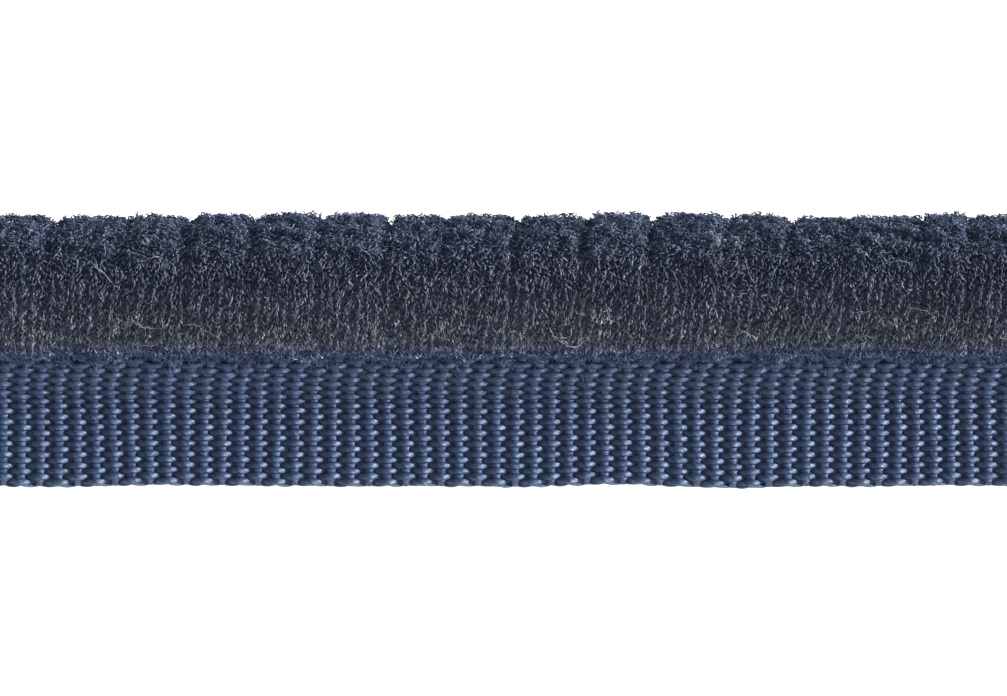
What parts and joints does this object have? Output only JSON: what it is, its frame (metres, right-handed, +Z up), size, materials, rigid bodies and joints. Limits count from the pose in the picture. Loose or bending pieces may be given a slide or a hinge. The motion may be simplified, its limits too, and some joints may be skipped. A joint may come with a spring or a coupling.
{
  "type": "velvet piping cord",
  "caption": "Cut length of velvet piping: a round cut-pile roll with a ribbed woven flange along one side, for sewing into a seam.",
  "frame": {"origin": "bottom centre of the piping as it lies on a surface, halfway along its length", "axes": "+X along the piping's length, +Y from the flange's free edge towards the pile roll, +Z up from the surface it lies on"},
  "size_m": [0.084, 0.0202, 0.0099],
  "materials": {
    "velvet_pile": "matt navy cut pile with a soft sheen at the tips",
    "ribbed_weave": "navy yarn with light blue glints on the crests of the ribs"
  },
  "bodies": {
    "root": {"velvet_roll": "velvet_pile", "woven_flange": "ribbed_weave"}
  },
  "joints": []
}
